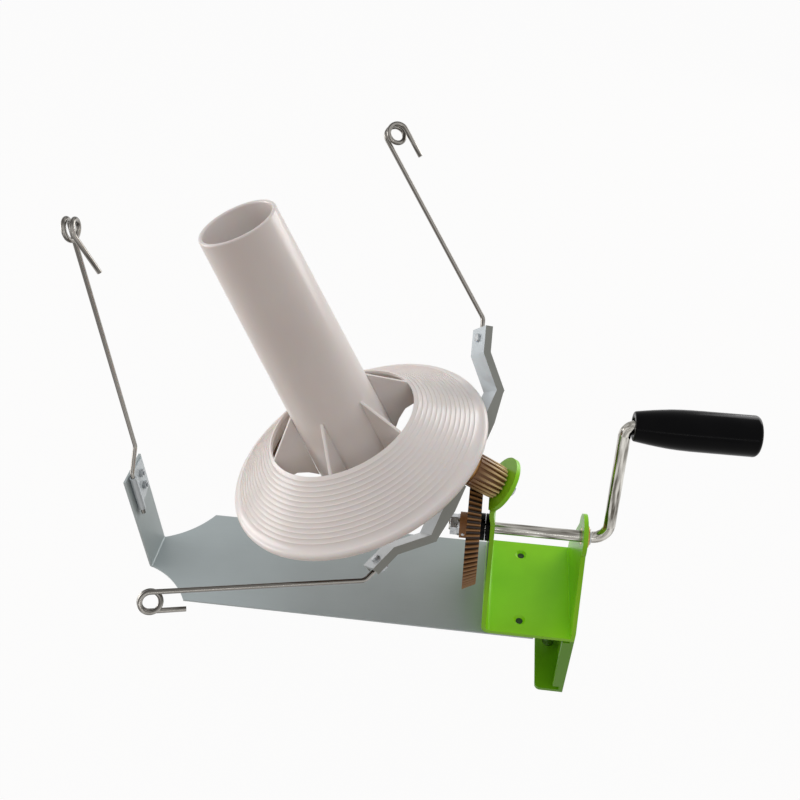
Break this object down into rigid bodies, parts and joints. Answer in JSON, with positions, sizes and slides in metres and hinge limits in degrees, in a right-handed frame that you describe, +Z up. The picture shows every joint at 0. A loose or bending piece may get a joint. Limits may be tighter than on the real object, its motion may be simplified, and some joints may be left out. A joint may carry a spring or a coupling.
{
  "type": "yarn ball winder",
  "caption": "Table-clamped yarn ball winder: a crank and bevel gears spin a wire flyer round a tilted flanged bobbin on a green sheet-metal frame.",
  "frame": {"origin": "on the underside of the base plate, which is the table top, below the inner face of the left upright, in the plane of the crank shaft", "axes": "+X along the crank shaft to the crank side, +Y away from the person who winds, +Z up"},
  "size_m": [0.4158, 0.2715, 0.3963],
  "materials": {
    "zinc": "dull zinc plate",
    "green_paint": "gloss paint",
    "black_plastic": "gloss",
    "brass": "turned",
    "bronze": "sintered",
    "tan_nylon": "moulded nylon",
    "white_plastic": "moulded, gloss",
    "nickel": "nickel plate",
    "strip_steel": "zinc plate",
    "pad_plastic": "matte",
    "steel": "zinc plate"
  },
  "bodies": {
    "frame": {"base_plate": "zinc", "frame_bracket": "green_paint", "clamp_leg": "green_paint", "plate_screws": "steel", "clamp_nut": "green_paint", "crank_bush_inner": "black_plastic", "crank_bush_outer": "brass", "flyer_axle": "steel", "axle_washer": "steel", "axle_nut": "steel", "spindle_bracket": "strip_steel", "bracket_nut": "steel", "thrust_washer": "steel", "bobbin_spindle": "steel", "spindle_washer": "steel", "spindle_clip": "steel", "feed_guide_wire": "nickel", "feed_guide_clip": "strip_steel", "feed_guide_screws": "steel", "feed_guide_nuts": "steel"},
    "crank": {"crank_rod": "nickel", "drive_gear": "tan_nylon", "gear_pin": "steel", "gear_spacer": "black_plastic", "gear_washer": "steel", "gear_nut": "steel", "crank_collar": "steel", "grip_clip": "steel"},
    "grip": {"grip_sleeve": "black_plastic", "grip_cap": "black_plastic"},
    "flyer": {"flyer_bracket": "strip_steel", "flyer_pinion": "tan_nylon", "flyer_sleeve": "bronze", "flyer_gear": "tan_nylon", "flyer_hub_screws": "steel", "flyer_hub_nuts": "steel", "arm_wire_lower": "nickel", "arm_wire_upper": "nickel", "arm_clips": "strip_steel", "arm_screws": "steel", "arm_nuts": "steel"},
    "bobbin": {"bobbin_tube": "white_plastic", "bobbin_flange": "white_plastic", "bobbin_gear": "tan_nylon", "bobbin_bush_lower": "bronze", "bobbin_bush_upper": "bronze"},
    "clamp_foot": {"clamp_pad": "pad_plastic"},
    "clamp_spindle": {"clamp_screw": "steel", "clamp_bar": "steel"}
  },
  "joints": [
    {"name": "crank_turn", "type": "hinge", "parent": "frame", "child": "crank", "pos_m": [0, 0, 0.0665], "axis": [1, 0, 0], "continuous": true},
    {"name": "grip_spin", "type": "hinge", "parent": "crank", "child": "grip", "pos_m": [0.1, 0.02384, 0.14965], "axis": [1, 0, 0], "continuous": true},
    {"name": "flyer_spin", "type": "hinge", "parent": "frame", "child": "flyer", "pos_m": [-0.02613, 0, 0.12744], "axis": [-0.848, 0, 0.5299], "continuous": true},
    {"name": "bobbin_spin", "type": "hinge", "parent": "frame", "child": "bobbin", "pos_m": [-0.09313, 0, 0.12793], "axis": [-0.342, 0, 0.9397], "continuous": true},
    {"name": "clamp_travel", "type": "slide", "parent": "frame", "child": "clamp_foot", "axis": [0, 0, 1], "range_m": [-0.014, 0.013]},
    {"name": "clamp_turn", "type": "hinge", "parent": "clamp_foot", "child": "clamp_spindle", "pos_m": [0.0514, 0, -0.06], "axis": [0, 0, 1], "range_deg": [-3360, 3120]}
  ],
  "couplings": [
    {"joint": "flyer_spin", "follows": "crank_turn", "ratio": 3.6},
    {"joint": "bobbin_spin", "follows": "crank_turn", "ratio": 0.96},
    {"joint": "clamp_travel", "follows": "clamp_turn", "m_per_rad": 0.00023873}
  ]
}
